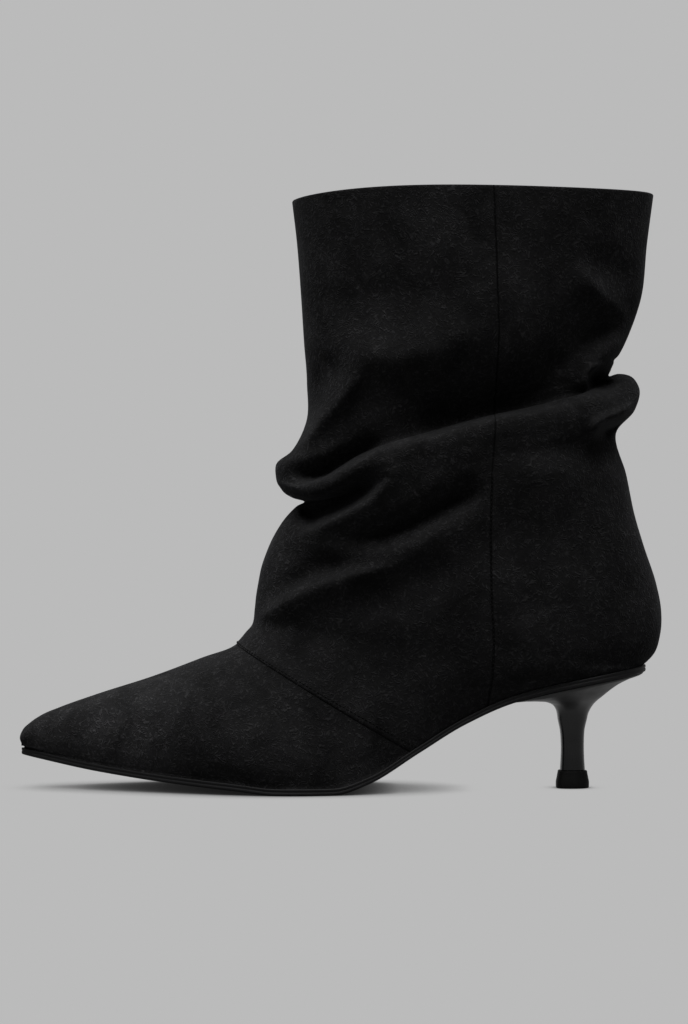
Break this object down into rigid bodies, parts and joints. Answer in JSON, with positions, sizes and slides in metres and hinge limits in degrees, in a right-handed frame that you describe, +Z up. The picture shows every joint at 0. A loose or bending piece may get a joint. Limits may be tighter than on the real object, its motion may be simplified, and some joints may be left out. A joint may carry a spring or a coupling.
{
  "type": "slouch boot",
  "caption": "Left pull-on ankle boot with a pointed toe, a slouched suede shaft in deep folds and a slim moulded heel.",
  "frame": {"origin": "on the floor, under the middle of the boot's box", "axes": "-X to the toe, -Y to the outer side of the left foot, +Z up from the floor"},
  "size_m": [0.2679, 0.085, 0.2484],
  "materials": {
    "upper": "napped suede, matt",
    "insole": "smooth, matt",
    "outsole": "inked edge, satin",
    "heel": "polished",
    "top_piece": "moulded, matt"
  },
  "bodies": {
    "root": {"upper": "upper", "insole": "insole", "outsole": "outsole", "heel": "heel", "top_piece": "top_piece"}
  },
  "joints": []
}
